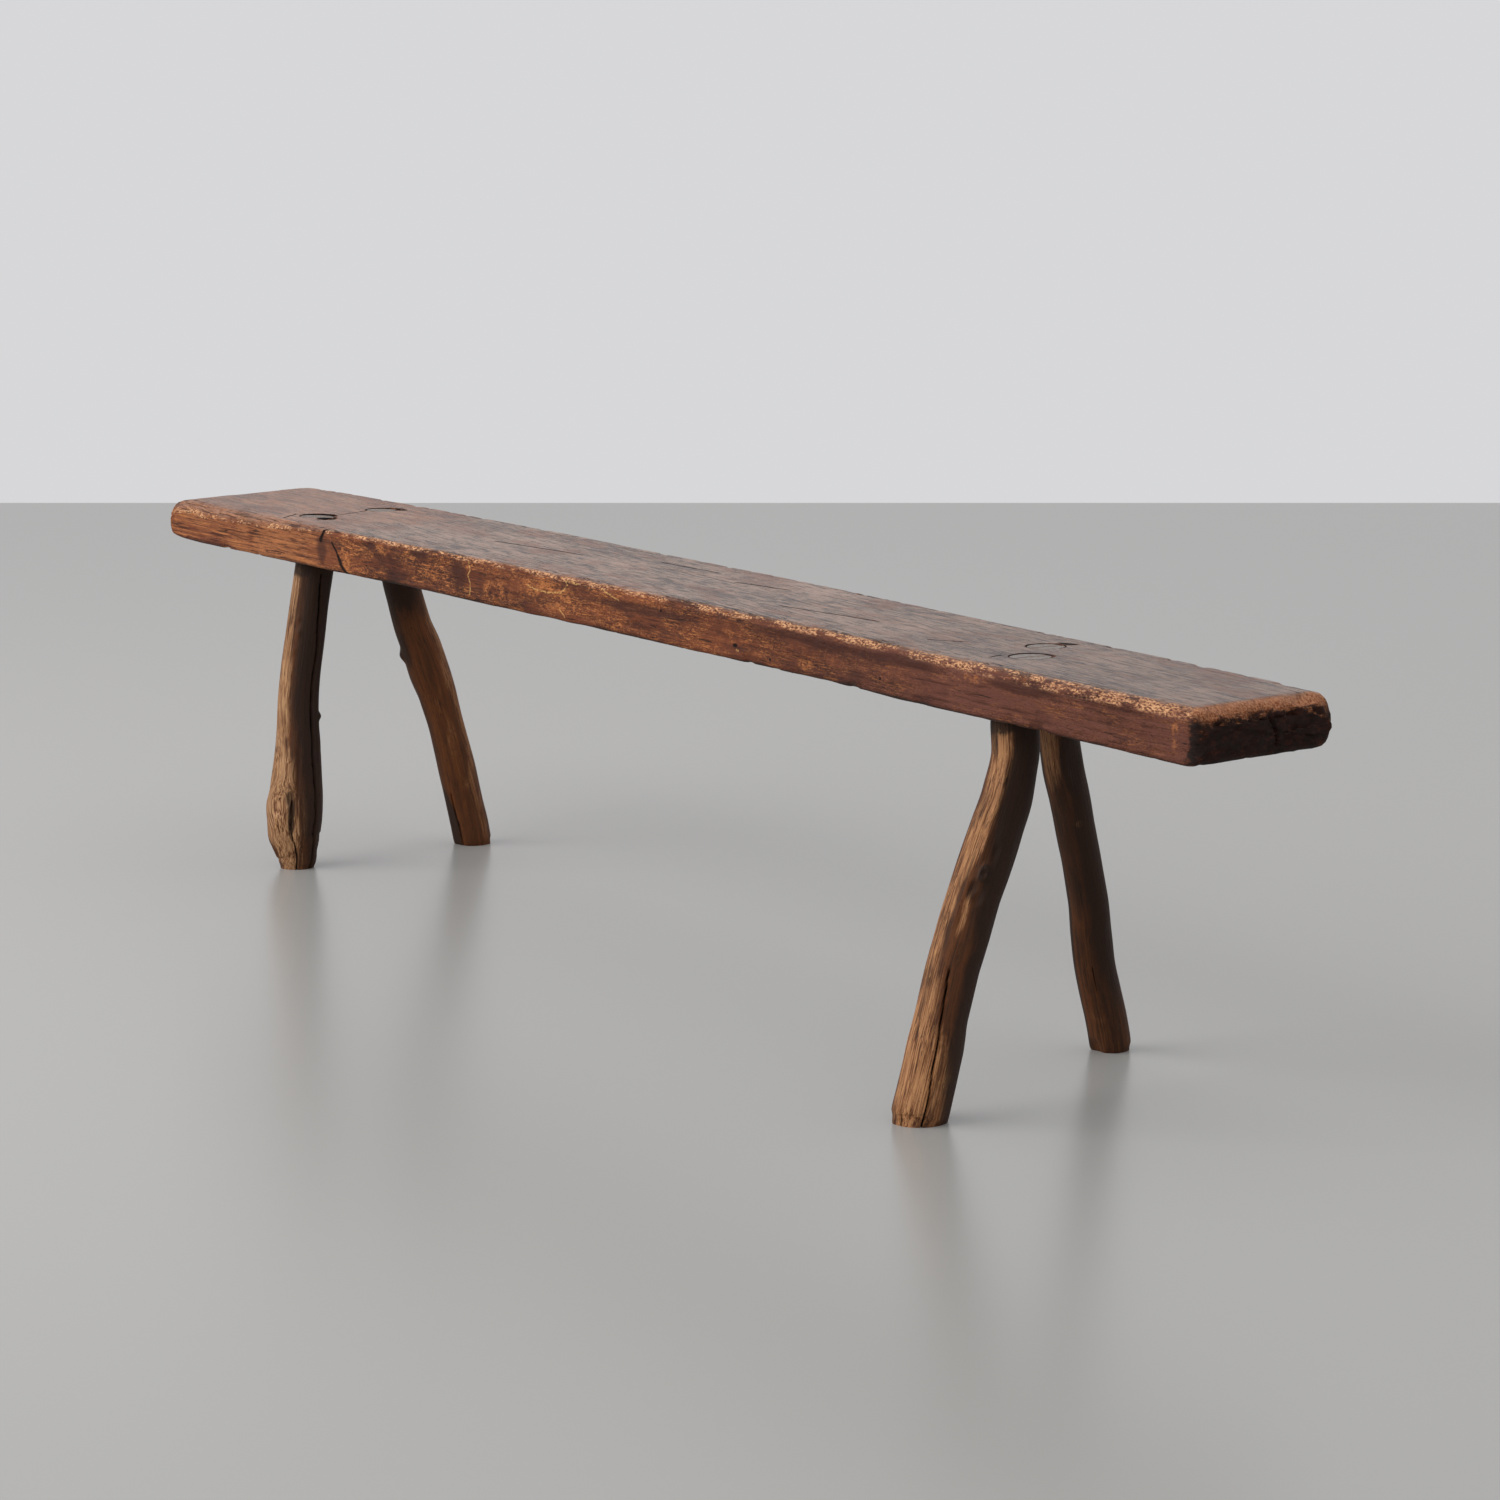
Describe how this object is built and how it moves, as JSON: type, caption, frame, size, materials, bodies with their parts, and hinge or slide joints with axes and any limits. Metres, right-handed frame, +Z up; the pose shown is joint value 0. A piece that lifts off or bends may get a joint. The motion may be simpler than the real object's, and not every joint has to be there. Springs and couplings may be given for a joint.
{
  "type": "plank bench",
  "caption": "Long rustic bench: thick hewn plank seat, worn round at its ends, on splayed crooked branch legs whose wedged round tenons come up through the seat.",
  "frame": {"origin": "on the floor, under the middle of the bench", "axes": "+X along the plank to its darker squarer end, +Y to the rear edge, +Z up"},
  "size_m": [2.2642, 0.3982, 0.45],
  "materials": {
    "plank_wood": "old red-brown wood, worn grey-brown and satin on top",
    "branch_wood": "dark brown shaved branch, rubbed golden on its left sides",
    "wedge_wood": "dry grey-brown end of a split slip"
  },
  "bodies": {
    "root": {"seat_plank": "plank_wood", "leg_front_left": "branch_wood", "leg_rear_left": "branch_wood", "leg_front_right": "branch_wood", "leg_rear_right": "branch_wood", "wedge_front_left": "wedge_wood", "wedge_rear_left": "wedge_wood", "wedge_front_right": "wedge_wood", "wedge_rear_right": "wedge_wood"}
  },
  "joints": []
}
